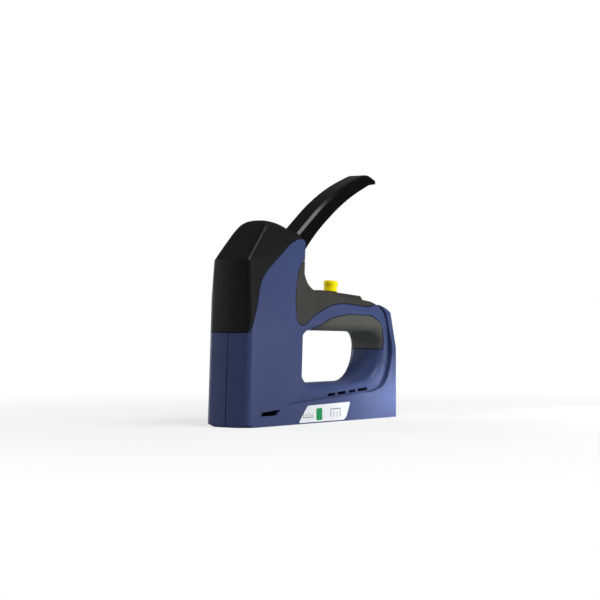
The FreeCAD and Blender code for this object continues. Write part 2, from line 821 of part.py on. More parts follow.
def lever_plan():
    """Plan view of the lever, rounded at the tip."""
    tip = max(u for u, _, _ in lever_outline())
    return [(pivot_station - 20, -lever_half, 0), (tip, -lever_half, lever_tip_rounding),
            (tip, lever_half, lever_tip_rounding), (pivot_station - 20, lever_half, 0)]


def lever_shell():
    """Moulded lever, open underneath over the steel arm."""
    outline = lever_outline()
    solid = across(outline, lever_width)

    def on_top(spot):
        above = V(spot.x, 0, spot.z + lever_edge)
        return not solid.isInside(above, 1e-3, True)

    solid = solid.makeChamfer(lever_edge, side_edges(solid, outline, lever_half, 0, on_top))
    solid = solid.common(upright(lever_plan(), 0, far))
    inside = lever_half - lever_wall
    hollow_side = side(shifted(outline, lever_wall), -inside, inside, False)
    for drop in (0, 4, 8):
        piece = hollow_side.copy()
        piece.translate(V(0, 0, -drop))
        solid = solid.cut(piece)
    solid = solid.cut(block(pivot_station - 12, pivot_station - 6, -inside, inside,
                            pivot_height - 12, pivot_height + 8))
    solid = solid.cut(rod_y(pivot_station, pivot_height, lever_pin_d / 2 + fit, -far, far))
    for station, height in rivet_places():
        solid = solid.cut(rod_y(station, height, rivet_d / 2 + seat, -rivet_end, rivet_end))
    return solid.removeSplitter()


def rivet_places():
    return ((pivot_station + 24, pivot_height + 23.5), (pivot_station + 43, pivot_height + 41))


def roller_place():
    swing = math.radians(lever_swing / 2)
    return (pivot_station - lift_radius * math.cos(swing),
            pivot_height - lift_radius * math.sin(swing))


def arm_width():
    return lever_width - 2 * lever_wall - 2 * 0.2


def lever_arm():
    """Steel arm: two cheeks joined by a web, from the lift roller to inside the lever."""
    u, z = roller_place()
    p = pivot_station
    q = pivot_height
    points = [(u - 3.6, z - 3.8, 3.2), (u - 4.2, z + 3.6, 3.2), (p - 6, q + 7, 12),
              (p + 46, q + 45.5, 2), (p + 50, q + 42, 2), (p + 20, q + 17.5, 0),
              (p + 7, q - 2, 7), (p + 2, q - 8, 6), (p - 8, q - 6.5, 0)]
    half = arm_width() / 2
    cheeks = side(points, -half, half, False)
    gap = half - cheek_thickness
    web = across([(p + 14, q + 19.3, 0), (p + 41, q + 39.1, 0), (p + 42.1, q + 37.6, 0),
                  (p + 15.1, q + 17.8, 0)], 2 * gap + 0.2)
    arm = cheeks.cut(block(-far, far, -gap, gap, -far, far)).fuse(web)
    arm = arm.cut(rod_y(p, q, lever_pin_d / 2 + fit, -far, far))
    arm = arm.cut(rod_y(u, z, roller_pin_d / 2 + seat, -far, far))
    for station, height in rivet_places():
        arm = arm.cut(rod_y(station, height, rivet_d / 2 + seat, -far, far))
    return arm.removeSplitter()


def cheek_gap():
    return arm_width() / 2 - cheek_thickness


def lever_rivets():
    """Cross pins through the arm, moulded into the lever's side walls."""
    return Part.makeCompound([rod_y(station, height, rivet_d / 2, -rivet_end, rivet_end)
                              for station, height in rivet_places()])


def lift_roller():
    u, z = roller_place()
    half = cheek_gap() - 0.2
    roller = rod_y(u, z, roller_d / 2, -half, half)
    return roller.cut(rod_y(u, z, roller_pin_d / 2 + fit, -far, far))


def roller_pin():
    u, z = roller_place()
    half = arm_width() / 2
    return rod_y(u, z, roller_pin_d / 2, -half, half)


def lever_bush():
    half = cheek_gap() - 0.1
    bush = rod_y(pivot_station, pivot_height, lever_pin_d / 2 + 1.5, -half, half)
    return bush.cut(rod_y(pivot_station, pivot_height, lever_pin_d / 2 + fit, -far, far))


def lever_pin():
    return rod_y(pivot_station, pivot_height, lever_pin_d / 2, -pin_seat_end + 0.2, pin_seat_end - 0.2)


def lever_spring():
    """Torsion spring round the bush, one leg under the arm's web and one against the body."""
    wire = 0.6
    radius = lever_pin_d / 2 + 1.5 + 0.35 + wire
    turns = 4
    pitch = 2 * wire + 0.15
    place = FreeCAD.Placement(at(pivot_station, turns * pitch / 2, pivot_height),
                              FreeCAD.Rotation(V(1, 0, 0), 90))
    spring = coil(radius, wire, pitch, turns, place, steps=12)
    reach = turns * pitch / 2
    lower = Part.makeCylinder(wire, 14.6, at(pivot_station + radius, reach, pivot_height),
                              V(0, 0, -1))
    upper = Part.makeCylinder(wire, 16.6, at(pivot_station + radius, -reach, pivot_height),
                              V(0, 0, 1))
    return spring.fuse([lower, upper])


# ---- plunger, spring, blade ---------------------------------------------------------------

def plunger():
    """Lifting block under the main spring, with a tower whose shelf lies over the roller."""
    u, z = roller_place()
    front = blade_station + blade_thickness
    top = plunger_floor + plunger_height
    tower_front = spring_station + spring_od / 2 + 0.8
    tower_rear = u - lift_radius * (1 - math.cos(math.radians(lever_swing / 2)))
    tower_rear = tower_rear - roller_d / 2 - 0.5
    shelf = z + roller_d / 2 + slip
    half = cheek_gap() - 0.4
    block_half = plunger_width / 2
    solid = block(front, tower_rear, -block_half, block_half, plunger_floor, top)
    solid = solid.fuse(block(tower_front, tower_rear, -half, half, plunger_floor, shelf + 3.4))
    solid = solid.fuse(block(tower_front, u + 3, -half, half, shelf, shelf + 3.4))
    gusset = [(tower_front, shelf + 3.4, 0), (tower_front + 6, shelf + 3.4, 0),
              (tower_front, shelf + 7, 0)]
    solid = solid.fuse(across(gusset, 1.8))
    solid = solid.cut(rod_z(spring_station, 0, 3.4, plunger_floor - 1, top - 3))
    return solid.cut(rod_x(front - 1, front + 8, 0, top - 3.4, 1.5 + seat)).removeSplitter()


def driver_blade():
    rear = blade_station + blade_thickness
    half = blade_width / 2
    top = plunger_floor + plunger_height
    blade = block(blade_station, rear, -half, half, 1.0, top)
    return blade.cut(rod_x(blade_station - 1, rear + 1, 0, top - 3.4, 1.5 + seat))


def blade_pin():
    front = blade_station + 0.1
    return rod_x(front, blade_station + blade_thickness + 6, 0,
                 plunger_floor + plunger_height - 3.4, 1.5)


def plunger_guide():
    """Steel arch round the spring: two side plates under a top plate, standing on the body."""
    inside = plunger_width / 2 + slip
    front = spring_station - 8.4
    rear = spring_station + 8.0
    top = spring_top + 2.2
    plates = both(front, rear, inside, inside + guide_plate, bumper_floor, top)
    arch = plates.fuse(block(front, rear, -inside - guide_plate, inside + guide_plate,
                             top, top + guide_plate))
    return arch.removeSplitter()


def upper_spring_seat():
    seat_disc = rod_z(spring_station, 0, spring_od / 2 - 0.2, spring_top, spring_top + 2.2)
    spigot = rod_z(spring_station, 0, spring_od / 2 - spring_wire - 0.5,
                   spring_top - 7, spring_top)
    return seat_disc.fuse(spigot).removeSplitter()


def main_spring():
    low = plunger_floor + plunger_height
    room = spring_top - low - spring_wire - 0.1
    place = FreeCAD.Placement(at(spring_station, 0, low + spring_wire / 2 + 0.05),
                              FreeCAD.Rotation())
    return coil((spring_od - spring_wire) / 2, spring_wire / 2, room / spring_turns,
                spring_turns, place)


def plunger_bumper():
    return block(spring_station - 8, spring_station + 8, -7.5, 7.5, bumper_floor, plunger_floor - 0.2)


# ---- nose plate and magazine --------------------------------------------------------------

def nose_plate():
    """Hardened plate in front of the blade; its foot shows at the sole."""
    rear = blade_station - slip
    return block(nose_plate_front(), rear, -nose_plate_width / 2, nose_plate_width / 2, 0.3, 50)


def magazine_channel():
    """Steel channel over the staples, open underneath."""
    front = blade_station + blade_thickness + slip
    top = channel_base + channel_height
    outer_box = block(front, channel_rear, -channel_half, channel_half, channel_base, top)
    inner_half = channel_half - channel_wall
    return outer_box.cut(block(front - 1, channel_rear + 1, -inner_half, inner_half,
                               channel_base - 1, top - channel_wall))


def magazine_core():
    """Rail that the staples straddle: a steel trough open upwards."""
    front = blade_station + blade_thickness + slip
    top = core_base + core_height
    rail = block(front, channel_rear + 3, -core_half, core_half, core_base, top)
    trough = core_half - core_wall
    rail = rail.cut(block(front + 1.2, channel_rear + 4, -trough, trough,
                          core_base + core_wall, top + 1))
    for station in (channel_rear - 3, channel_rear - 9):
        rail = rail.cut(rod_y(station, core_base + 5, 1.2 + seat, -far / 4, far / 4))
    return rail


def magazine_end_cap():
    """Moulded end of the magazine, flush with the rear face, with a tongue in the rail."""
    half = end_cap_width / 2
    front = channel_rear + 3.3
    cap = block(front, rear_end - 0.3, -half, half, 0.6, 17.8)
    rear_edges = [edge for edge in cap.Edges
                  if middle_of(edge).x > rear_end - 0.4 - middle and edge.Length > 5]
    cap = cap.makeFillet(1.2, rear_edges)
    grip = block(rear_end - 2.2, rear_end + 1, -half + 3, half - 3, 6, 12)
    cap = cap.cut(grip)
    tongue_half = core_half - core_wall - 0.05
    tongue = block(channel_rear - 12, front + 1, -tongue_half, tongue_half,
                   core_base + core_wall + 0.05, core_base + core_height - 2)
    cap = cap.fuse(tongue)
    for station in (channel_rear - 3, channel_rear - 9):
        cap = cap.cut(rod_y(station, core_base + 5, 1.2 + seat, -far / 4, far / 4))
    return cap.removeSplitter()


def core_rivets():
    return Part.makeCompound([
        rod_y(station, core_base + 5, 1.2, -core_half, core_half)
        for station in (channel_rear - 3, channel_rear - 9)])


def pusher():
    """Sheet-steel saddle that rides on the rail and pushes the staples forwards."""
    front = blade_station + blade_thickness + slip + 1.4
    inside = core_half + 0.15
    outside = channel_half - channel_wall - 0.2
    top = channel_base + channel_height - channel_wall - 0.25
    under = core_base + core_height + 0.1
    saddle = block(front, front + pusher_length, -outside, outside, 4.0, top)
    saddle = saddle.cut(block(front - 1, front + pusher_length + 1, -inside, inside, 0, under))
    tongue = block(front + 1, front + 3, -2.6, 2.6, core_base + core_wall + 1.2, under + 0.2)
    return saddle.fuse(tongue).removeSplitter()


def pusher_spring():
    """Long light coil in the rail's trough, behind the pusher's tongue."""
    wire = 0.45
    radius = 2.2
    front = blade_station + blade_thickness + slip + 1.4 + 3.1
    length = channel_rear - 12.5 - front - 2 * wire
    turns = 11
    place = FreeCAD.Placement(at(front + wire, 0, core_base + core_wall + 3.6),
                              FreeCAD.Rotation(V(0, 1, 0), 90))
    return coil(radius, wire, length / turns, turns, place, sides=4)


# ---- magazine latch -----------------------------------------------------------------------

def magazine_latch():
    """Thumb rocker over the end cap: pad in the rear face, hook over the cap's top."""
    u = latch_station
    z = latch_height
    points = [(u - 9, z - 3.3, 1), (u - 9, z + 1, 1), (u, z + 3.4, 4), (u + 4, z + 3.9, 2),
              (u + 5.5, z + 7.3, 1), (u + 9.4, z + 7.3, 1.2), (u + 9.4, z - 3.9, 1),
              (u + 8.4, z - 5.6, 0.5), (u + 6.6, z - 5.6, 0.5), (u + 5.6, z - 3.3, 1)]
    rocker = across(points, latch_width)
    return rocker.cut(rod_y(u, z, latch_pin_d / 2 + fit, -far / 4, far / 4))


def latch_pin():
    return rod_y(latch_station, latch_height, latch_pin_d / 2, -9.5, 9.5)


def latch_spring():
    """Small coil under the rocker's tail, standing on the channel."""
    wire = 0.3
    low = channel_base + channel_height
    room = latch_height - 3.3 - low - 2 * wire - 0.1
    place = FreeCAD.Placement(at(latch_station - 6.5, 0, low + wire + 0.05), FreeCAD.Rotation())
    return coil(1.7, wire, room / 3, 3, place, sides=4)


nodes = {}
left_shell, right_shell = shells()
nodes["shell_left"] = left_shell
nodes["shell_right"] = right_shell
nodes["housing_screws"] = screws()
nodes["nose_cap"] = nose_cap()
nodes["grip_saddle"] = grip_saddle()
nodes["finger_grip"] = finger_grip()
nodes["selector_plate"] = selector_plate()
nodes["selector_knob"] = selector_knob()
nodes["selector_bar"] = selector_bar()
nodes["detent_spring"] = detent_spring()
nodes["lever_shell"] = lever_shell()
nodes["lever_arm"] = lever_arm()
nodes["lever_rivets"] = lever_rivets()
nodes["lift_roller"] = lift_roller()
nodes["roller_pin"] = roller_pin()
nodes["lever_bush"] = lever_bush()
nodes["lever_pin"] = lever_pin()
nodes["lever_spring"] = lever_spring()
nodes["plunger"] = plunger()
nodes["driver_blade"] = driver_blade()
nodes["blade_pin"] = blade_pin()
nodes["plunger_guide"] = plunger_guide()
nodes["upper_spring_seat"] = upper_spring_seat()
nodes["main_spring"] = main_spring()
nodes["plunger_bumper"] = plunger_bumper()
nodes["nose_plate"] = nose_plate()
nodes["magazine_channel"] = magazine_channel()
nodes["magazine_core"] = magazine_core()
nodes["magazine_end_cap"] = magazine_end_cap()
nodes["core_rivets"] = core_rivets()
nodes["pusher"] = pusher()
nodes["pusher_spring"] = pusher_spring()
nodes["magazine_latch"] = magazine_latch()
nodes["latch_pin"] = latch_pin()
nodes["latch_spring"] = latch_spring()

for name, shape in nodes.items():
    shape.exportStep(os.path.join("parts", name + ".step"))
    print(name, shape.isValid(), len(shape.Solids), round(shape.Volume, 1))
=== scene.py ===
"""Looks of a hand-squeezed staple tacker: materials, the printed label, studio and camera."""
import json
import math

import bmesh
import bpy
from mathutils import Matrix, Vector


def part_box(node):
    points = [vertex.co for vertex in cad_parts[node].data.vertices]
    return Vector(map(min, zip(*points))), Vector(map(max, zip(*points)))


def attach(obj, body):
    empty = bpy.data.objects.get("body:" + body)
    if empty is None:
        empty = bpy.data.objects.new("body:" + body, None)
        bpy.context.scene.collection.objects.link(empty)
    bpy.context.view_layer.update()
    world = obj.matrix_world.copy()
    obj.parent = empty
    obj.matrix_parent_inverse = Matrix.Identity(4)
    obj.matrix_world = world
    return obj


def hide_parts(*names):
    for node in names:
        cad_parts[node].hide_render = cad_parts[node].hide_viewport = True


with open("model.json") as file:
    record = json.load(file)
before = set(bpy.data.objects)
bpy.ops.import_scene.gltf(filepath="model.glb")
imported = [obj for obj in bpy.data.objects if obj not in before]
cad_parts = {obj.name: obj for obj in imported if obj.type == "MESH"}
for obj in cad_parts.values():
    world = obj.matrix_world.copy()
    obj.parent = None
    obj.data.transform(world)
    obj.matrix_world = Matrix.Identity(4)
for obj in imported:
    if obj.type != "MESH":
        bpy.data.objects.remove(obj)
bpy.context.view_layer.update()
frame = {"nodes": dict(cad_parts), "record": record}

MM = 0.001
LEFT_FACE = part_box("shell_left")[0].y          # flat left flank of the plinth
FOOT_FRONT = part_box("shell_left")[0].x         # lowest front corner of the nose
STATION_ZERO = FOOT_FRONT + 4.5 * MM           # stations in mm run rearwards from here

# Stations, widths and heights in mm.
BROW_HEIGHT = 117.5          # crease at the top of the nose face
CROWN_HALF = 16.7            # half width of the crown at the brow
CROWN_LEAN = 0.0977          # the crown's flanks lean in by this much per mm of height
CROWN_LINE = [(1.0, 117.5), (28.6, 147.0), (44.5, 146.2), (58.0, 140.5), (71.0, 127.0)]
CROWN_FADE = (48, 60)        # stations between which the soft crown gives way to the CAD form
BROW_FADE = (0.5, 5)         # heights over the brow between which it takes over
CAP_WALL = 2.4
LEVER_TIP = 167.5
LEVER_SOFTENING = 1.15       # size of the rounding on the lever's long edges
LEVER_EDGE_Y = 6.5           # those edges lie further out than this
TIP_RUN = 24.0               # length of the tip that bends down
TIP_DROOP = 6.5
TIP_SLICES = 14
TIP_FLOOR = 176.3            # underside of the tip where the bend starts, which stays put
TIP_FLOOR_RISE = 1.6
TIP_DEPTH = 8.0              # height over which the bend fades out downwards
TAPER_START = 72.0           # height from which the nose narrows towards the brow
NOSE_TAPER = 2.6
LABEL_THICKNESS = 0.18
BLOCK_THICKNESS = 0.04
INK_THICKNESS = 0.03
SEAM_LOW, SEAM_HIGH = 117.46, 117.97      # lips in the open seam between saddle and body

CAMERA_PLACE = (-1160.98, -902.60, 89.2)
CAMERA_AIM = (0.788, 0.6157, 0.0)
CAMERA_LENS = 120.0


def at(station, y, height):
    """A point from a station, a width and a height in mm."""
    return Vector((STATION_ZERO + station * MM, y * MM, height * MM))


# ---- smooth joins between a CAD node's faces ----------------------------------------------

def joined_normals(limit):
    """Node group that welds a mesh's seams and keeps only folds sharper than a limit sharp."""
    group = bpy.data.node_groups.new("joined_normals", "GeometryNodeTree")
    group.interface.new_socket("Mesh", in_out="INPUT", socket_type="NodeSocketGeometry")
    group.interface.new_socket("Mesh", in_out="OUTPUT", socket_type="NodeSocketGeometry")
    start = group.nodes.new("NodeGroupInput")
    weld = group.nodes.new("GeometryNodeMergeByDistance")
    weld.inputs["Distance"].default_value = 0.01 * MM
    fold = group.nodes.new("GeometryNodeInputMeshEdgeAngle")
    sharp = group.nodes.new("FunctionNodeCompare")
    sharp.operation = "GREATER_THAN"
    sharp.inputs["B"].default_value = limit
    normal = group.nodes.new("GeometryNodeSetMeshNormal")
    normal.mode = "SHARPNESS"
    end = group.nodes.new("NodeGroupOutput")
    group.links.new(start.outputs[0], weld.inputs["Geometry"])
    group.links.new(weld.outputs[0], normal.inputs["Mesh"])
    group.links.new(fold.outputs["Unsigned Angle"], sharp.inputs["A"])
    group.links.new(sharp.outputs[0], normal.inputs["Edge Sharpness"])
    group.links.new(normal.outputs[0], end.inputs[0])
    return group


def smooth_joins(node, group):
    """Shades a node's small facets as part of the rounding that they make up."""
    node.modifiers.new("joined_normals", "NODES").node_group = group
    weighted = node.modifiers.new("weighted_normals", "WEIGHTED_NORMAL")
    weighted.keep_sharp = True


# ---- material helpers ---------------------------------------------------------------------

class Graph:
    """Short spellings for adding and joining a material's nodes."""

    def __init__(self, name):
        self.material = bpy.data.materials.new(name)
        self.material.use_nodes = True
        self.nodes = self.material.node_tree.nodes
        self.links = self.material.node_tree.links
        self.shader = self.nodes["Principled BSDF"]
        coordinates = self.nodes.new("ShaderNodeTexCoord")
        self.place = coordinates.outputs["Object"]

    def add(self, kind, **settings):
        node = self.nodes.new(kind)
        for key, value in settings.items():
            setattr(node, key, value)
        return node

    def join(self, source, node, socket):
        self.links.new(source, node.inputs[socket])

    def stretched(self, scale):
        mapping = self.add("ShaderNodeMapping")
        mapping.inputs["Scale"].default_value = scale
        self.join(self.place, mapping, "Vector")
        return mapping.outputs["Vector"]

    def noise(self, scale, detail=3.0, roughness=0.55, place=None):
        node = self.add("ShaderNodeTexNoise")
        self.join(place or self.place, node, "Vector")
        node.inputs["Scale"].default_value = scale
        node.inputs["Detail"].default_value = detail
        node.inputs["Roughness"].default_value = roughness
        return node.outputs["Fac"]

    def cells(self, scale):
        node = self.add("ShaderNodeTexVoronoi", feature="SMOOTH_F1")
        self.join(self.place, node, "Vector")
        node.inputs["Scale"].default_value = scale
        node.inputs["Smoothness"].default_value = 0.6
        return node.outputs["Distance"]

    def spread(self, source, low, high, to_low=0.0, to_high=1.0):
        node = self.add("ShaderNodeMapRange")
        self.join(source, node, "Value")
        node.inputs["From Min"].default_value = low
        node.inputs["From Max"].default_value = high
        node.inputs["To Min"].default_value = to_low
        node.inputs["To Max"].default_value = to_high
        return node.outputs["Result"]

    def maths(self, operation, a, b):
        node = self.add("ShaderNodeMath", operation=operation)
        for index, value in enumerate((a, b)):
            if isinstance(value, (int, float)):
                node.inputs[index].default_value = value
            else:
                self.links.new(value, node.inputs[index])
        return node.outputs["Value"]

    def mixed(self, amount, colour_a, colour_b):
        node = self.add("ShaderNodeMix", data_type="RGBA")
        self.join(amount, node, "Factor")
        for socket, value in (("A", colour_a), ("B", colour_b)):
            target = [i for i in node.inputs if i.name == socket and i.type == "RGBA"][0]
            if isinstance(value, tuple):
                target.default_value = (*value, 1.0)
            else:
                self.links.new(value, target)
        return [o for o in node.outputs if o.type == "RGBA"][0]

    def scuffs(self, low, high):
        """Sparse, thin marks of handling: 1 in a mark, 0 elsewhere."""
        drawn = self.noise(55.0, detail=8.0, roughness=0.7, place=self.stretched((1.0, 2.2, 5.0)))
        return self.spread(drawn, low, high)

    def relief(self, heights):
        """Bump layers of (height, distance in metres, strength)."""
        normal = None
        for height, distance, strength in heights:
            bump = self.add("ShaderNodeBump")
            bump.inputs["Strength"].default_value = strength
            bump.inputs["Distance"].default_value = distance
            self.join(height, bump, "Height")
            if normal:
                self.links.new(normal, bump.inputs["Normal"])
            normal = bump.outputs["Normal"]
        self.links.new(normal, self.shader.inputs["Normal"])

    def set(self, **values):
        for key, value in values.items():
            self.shader.inputs[key.replace("_", " ")].default_value = value


def moulded(name, colour, tint, roughness, grain, depth, specular, wear=0.25, uneven=0.05):
    """Injection-moulded plastic: spark-eroded grain, faint flow marks and light scuffs."""
    g = Graph(name)
    flow = g.noise(18.0, detail=4.0)
    fine = g.noise(grain, detail=2.0)
    base = g.mixed(g.spread(flow, 0.3, 0.7), colour, tint)
    worn = g.maths("MULTIPLY", g.scuffs(0.66, 0.74), wear)
    lighter = tuple(min(1.0, c * 1.5 + 0.004) for c in colour)
    g.join(g.mixed(worn, base, lighter), g.shader, "Base Color")
    dull = g.spread(fine, 0.3, 0.7, roughness - uneven, roughness + uneven)
    g.join(g.maths("SUBTRACT", dull, g.maths("MULTIPLY", worn, 0.2)), g.shader, "Roughness")
    g.relief([(fine, depth, 0.5), (flow, 0.0002, 0.05)])
    g.set(Specular_IOR_Level=specular)
    return g.material


def rubber(name, colour, tint, roughness, pimple):
    """Soft-touch elastomer with a pebbled skin and a dusty bloom."""
    g = Graph(name)
    pebbles = g.cells(pimple)
    dust = g.noise(30.0, detail=5.0)
    g.join(g.mixed(g.spread(dust, 0.35, 0.7), colour, tint), g.shader, "Base Color")
    g.join(g.spread(pebbles, 0.1, 0.7, roughness, roughness + 0.12), g.shader, "Roughness")
    g.relief([(pebbles, 0.00012, 0.5), (dust, 0.0002, 0.06)])
    g.set(Specular_IOR_Level=0.2)
    return g.material


def metal(name, colour, roughness, along):
    """Rolled or ground steel with a brushed lay along one direction and some handling marks."""
    g = Graph(name)
    lay = g.noise(900.0, detail=2.0, place=g.stretched(along))
    marks = g.noise(60.0, detail=6.0)
    darker = tuple(c * 0.72 for c in colour)
    g.join(g.mixed(g.spread(marks, 0.35, 0.75), colour, darker), g.shader, "Base Color")
    g.join(g.spread(lay, 0.3, 0.7, roughness - 0.08, roughness + 0.1), g.shader, "Roughness")
    g.relief([(lay, 0.00003, 0.4)])
    g.set(Metallic=1.0)
    return g.material


def printed(name, colour, tint):
    """Screen-printed film: a thin glossy sheet with a slightly uneven ink."""
    g = Graph(name)
    ink = g.noise(400.0, detail=3.0)
    g.join(g.mixed(g.spread(ink, 0.3, 0.8), colour, tint), g.shader, "Base Color")
    g.join(g.spread(g.noise(70.0), 0.3, 0.7, 0.24, 0.36), g.shader, "Roughness")
    g.relief([(g.noise(240.0), 0.00005, 0.15)])
    g.set(Specular_IOR_Level=0.25)
    return g.material


body_plastic = moulded("body_plastic", (0.039, 0.056, 0.146), (0.045, 0.063, 0.160), 0.36,
                       1400.0, 0.00001, specular=0.15)
cap_plastic = moulded("cap_plastic", (0.007, 0.007, 0.0075), (0.010, 0.010, 0.0105), 0.42,
                      1400.0, 0.00001, specular=0.12, wear=0.15)
lever_plastic = moulded("lever_plastic", (0.0015, 0.0015, 0.0016), (0.0022, 0.0022, 0.0024),
                        0.2, 900.0, 0.000001, specular=0.16, wear=0.1, uneven=0.01)
soft_grip = rubber("soft_grip", (0.034, 0.034, 0.033), (0.043, 0.042, 0.040), 0.55, 1500.0)
finger_rubber = rubber("finger_rubber", (0.060, 0.063, 0.056), (0.076, 0.078, 0.070), 0.5, 1400.0)
knob_plastic = moulded("knob_plastic", (0.97, 0.78, 0.0), (1.0, 0.82, 0.0), 0.4,
                       900.0, 0.000001, specular=0.1, wear=0.03, uneven=0.03)
black_trim = moulded("black_trim", (0.022, 0.022, 0.021), (0.030, 0.030, 0.028), 0.48,
                     1400.0, 0.00002, specular=0.3)
steel = metal("steel", (0.60, 0.60, 0.60), 0.34, (1.0, 6.0, 6.0))
hard_steel = metal("hard_steel", (0.42, 0.42, 0.43), 0.28, (6.0, 6.0, 1.0))
spring_steel = metal("spring_steel", (0.34, 0.34, 0.35), 0.3, (2.0, 2.0, 2.0))
bumper_rubber = rubber("bumper_rubber", (0.02, 0.02, 0.02), (0.03, 0.03, 0.03), 0.6, 1800.0)
label_white = printed("label_white", (0.76, 0.78, 0.81), (0.72, 0.74, 0.77))
label_green = printed("label_green", (0.0, 0.24, 0.07), (0.0, 0.27, 0.085))
label_ink = printed("label_ink", (0.05, 0.05, 0.06), (0.09, 0.09, 0.10))

MATERIALS = {"body_plastic": body_plastic, "cap_plastic": cap_plastic,
             "lever_plastic": lever_plastic, "soft_grip": soft_grip,
             "finger_rubber": finger_rubber, "knob_plastic": knob_plastic,
             "black_trim": black_trim, "steel": steel, "hard_steel": hard_steel,
             "spring_steel": spring_steel, "bumper_rubber": bumper_rubber}

slots = {part["node"]: part["material_slot"] for part in frame["record"]["subparts"]}
joins = joined_normals(math.radians(36))
for name, node in frame["nodes"].items():
    node.data.materials.clear()
    node.data.materials.append(MATERIALS[slots[name]])
    smooth_joins(node, joins)


# ---- mouldings shown instead of a CAD node ------------------------------------------------

def own_mesh(node):
    """A copy of a CAD node's mesh to build a finer piece from, welded and free of flat cuts."""
    form = bmesh.new()
    form.from_mesh(node.data)
    form.transform(node.matrix_world)
    bmesh.ops.remove_doubles(form, verts=form.verts, dist=0.01 * MM)
    bmesh.ops.dissolve_limit(form, angle_limit=math.radians(0.6), verts=form.verts,
                             edges=form.edges)
    return form


def sliced(form, axis, places):
    """Cuts a mesh's faces along planes across one axis."""
    for place in places:
        normal = [0.0, 0.0, 0.0]
        normal[axis] = 1.0
        spot = [0.0, 0.0, 0.0]
        spot[axis] = place
        geometry = list(form.verts) + list(form.edges) + list(form.faces)
        bmesh.ops.bisect_plane(form, geom=geometry, dist=1e-6, plane_co=spot, plane_no=normal)


def finished(form, name, node, body, limit):
    """Turns a finer form into the piece that is shown instead of a CAD node."""
    mesh = bpy.data.meshes.new(name)
    bmesh.ops.recalc_face_normals(form, faces=form.faces)
    for face in form.faces:
        face.smooth = True
    form.to_mesh(mesh)
    form.free()
    mesh.set_sharp_from_angle(angle=math.radians(limit))
    piece = bpy.data.objects.new(name, mesh)
    bpy.context.scene.collection.objects.link(piece)
    mesh.materials.append(node.data.materials[0])
    piece.modifiers.new("weighted_normals", "WEIGHTED_NORMAL").keep_sharp = True
    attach(piece, body)
    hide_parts(node.name)


def lever_moulding():
    """The lever with its long edges rounded and a nose-down tip."""
    node = frame["nodes"]["lever_shell"]
    form = own_mesh(node)
    tip = at(LEVER_TIP, 0, 0).x
    start = tip - TIP_RUN * MM
    sliced(form, 0, [start + (tip - start) * step / TIP_SLICES for step in range(TIP_SLICES)])
    sides = [e for e in form.edges if outer_fold(e)]
    bmesh.ops.bevel(form, geom=sides, offset=LEVER_SOFTENING * MM, offset_type="OFFSET",
                    segments=3, profile=0.5, affect="EDGES", clamp_overlap=True)
    for vert in form.verts:
        reach = (vert.co.x - start) / (tip - start)
        if reach <= 0:
            continue
        above = max(0.0, vert.co.z - (TIP_FLOOR + TIP_FLOOR_RISE * reach) * MM)
        share = min(1.0, above / (TIP_DEPTH * MM))
        vert.co.z -= TIP_DROOP * MM * reach ** 2.5 * share
    finished(form, "lever_moulding", node, "lever", 40)


def outer_fold(edge):
    """True for a fold between the lever's top, its bevels and its flanks."""
    if len(edge.link_faces) != 2 or not 0.5 < edge.calc_face_angle() < 1.1:
        return False
    return all(abs(vert.co.y) > LEVER_EDGE_Y * MM for vert in edge.verts)


def blended(distances, softness):
    """Depth below several surfaces at once, with the edges between them rounded."""
    top = max(distances)
    return top + softness * math.log(sum(math.exp((d - top) / softness) for d in distances))


def line_depth(station, height, start, end):
    """Distance outwards from a line in the side view that runs rearwards."""
    run, rise = end[0] - start[0], end[1] - start[1]
    return ((height - start[1]) * run - (station - start[0]) * rise) / math.hypot(run, rise)


def crown_depth(spot):
    """Distance in mm from a model point out to the soft crown: 0 on its skin, less inside."""
    station, height = (spot.x - STATION_ZERO) / MM, spot.z / MM
    slope = line_depth(station, height, CROWN_LINE[0], CROWN_LINE[1])
    ridge = blended([line_depth(station, height, a, b)
                     for a, b in zip(CROWN_LINE[1:], CROWN_LINE[2:])], 2.0)
    flanks = [side * spot.y / MM - CROWN_HALF + (height - BROW_HEIGHT) * CROWN_LEAN
              for side in (-1, 1)]
    return blended([slope, blended([ridge, *flanks], 4.0)], 1.6)


def crown_slope(spot):
    """Direction in which the crown's depth grows fastest."""
    step = 0.05 * MM
    here = crown_depth(spot)
    return Vector([(crown_depth(spot + Vector(axis) * step) - here) * MM / step
                   for axis in ((1, 0, 0), (0, 1, 0), (0, 0, 1))])


def eased_in(value, low, high):
    """0 below a range and 1 above it, with a soft step between."""
    share = min(1.0, max(0.0, (value - low) / (high - low)))
    return share * share * (3 - 2 * share)


def cap_moulding():
    """The nose cap with its crown flowed into one soft form above the brow."""
    node = frame["nodes"]["nose_cap"]
    form = own_mesh(node)
    sliced(form, 0, [at(station, 0, 0).x for station in range(2, 72, 2)])
    sliced(form, 1, [across * MM for across in range(-16, 17, 2)])
    sliced(form, 2, [at(0, 0, height).z for height in range(112, 148, 2)])
    bmesh.ops.triangulate(form, faces=form.faces)
    form.normal_update()
    for vert in form.verts:
        amount = (eased_in(vert.co.z / MM - BROW_HEIGHT, *BROW_FADE)
                  * (1 - eased_in((vert.co.x - STATION_ZERO) / MM, *CROWN_FADE)))
        if amount == 0:
            continue
        facing = vert.normal.dot(crown_slope(vert.co).normalized())
        if abs(facing) < 0.4:
            continue
        skin = 0.0 if facing > 0 else -CAP_WALL
        spot = vert.co.copy()
        for _ in range(4):
            slope = crown_slope(spot)
            spot -= slope * ((crown_depth(spot) - skin) * MM / slope.length_squared)
        vert.co = vert.co.lerp(spot, amount)
    finished(form, "cap_moulding", node, "root", 50)


lever_moulding()
cap_moulding()


# ---- label on the left flank --------------------------------------------------------------

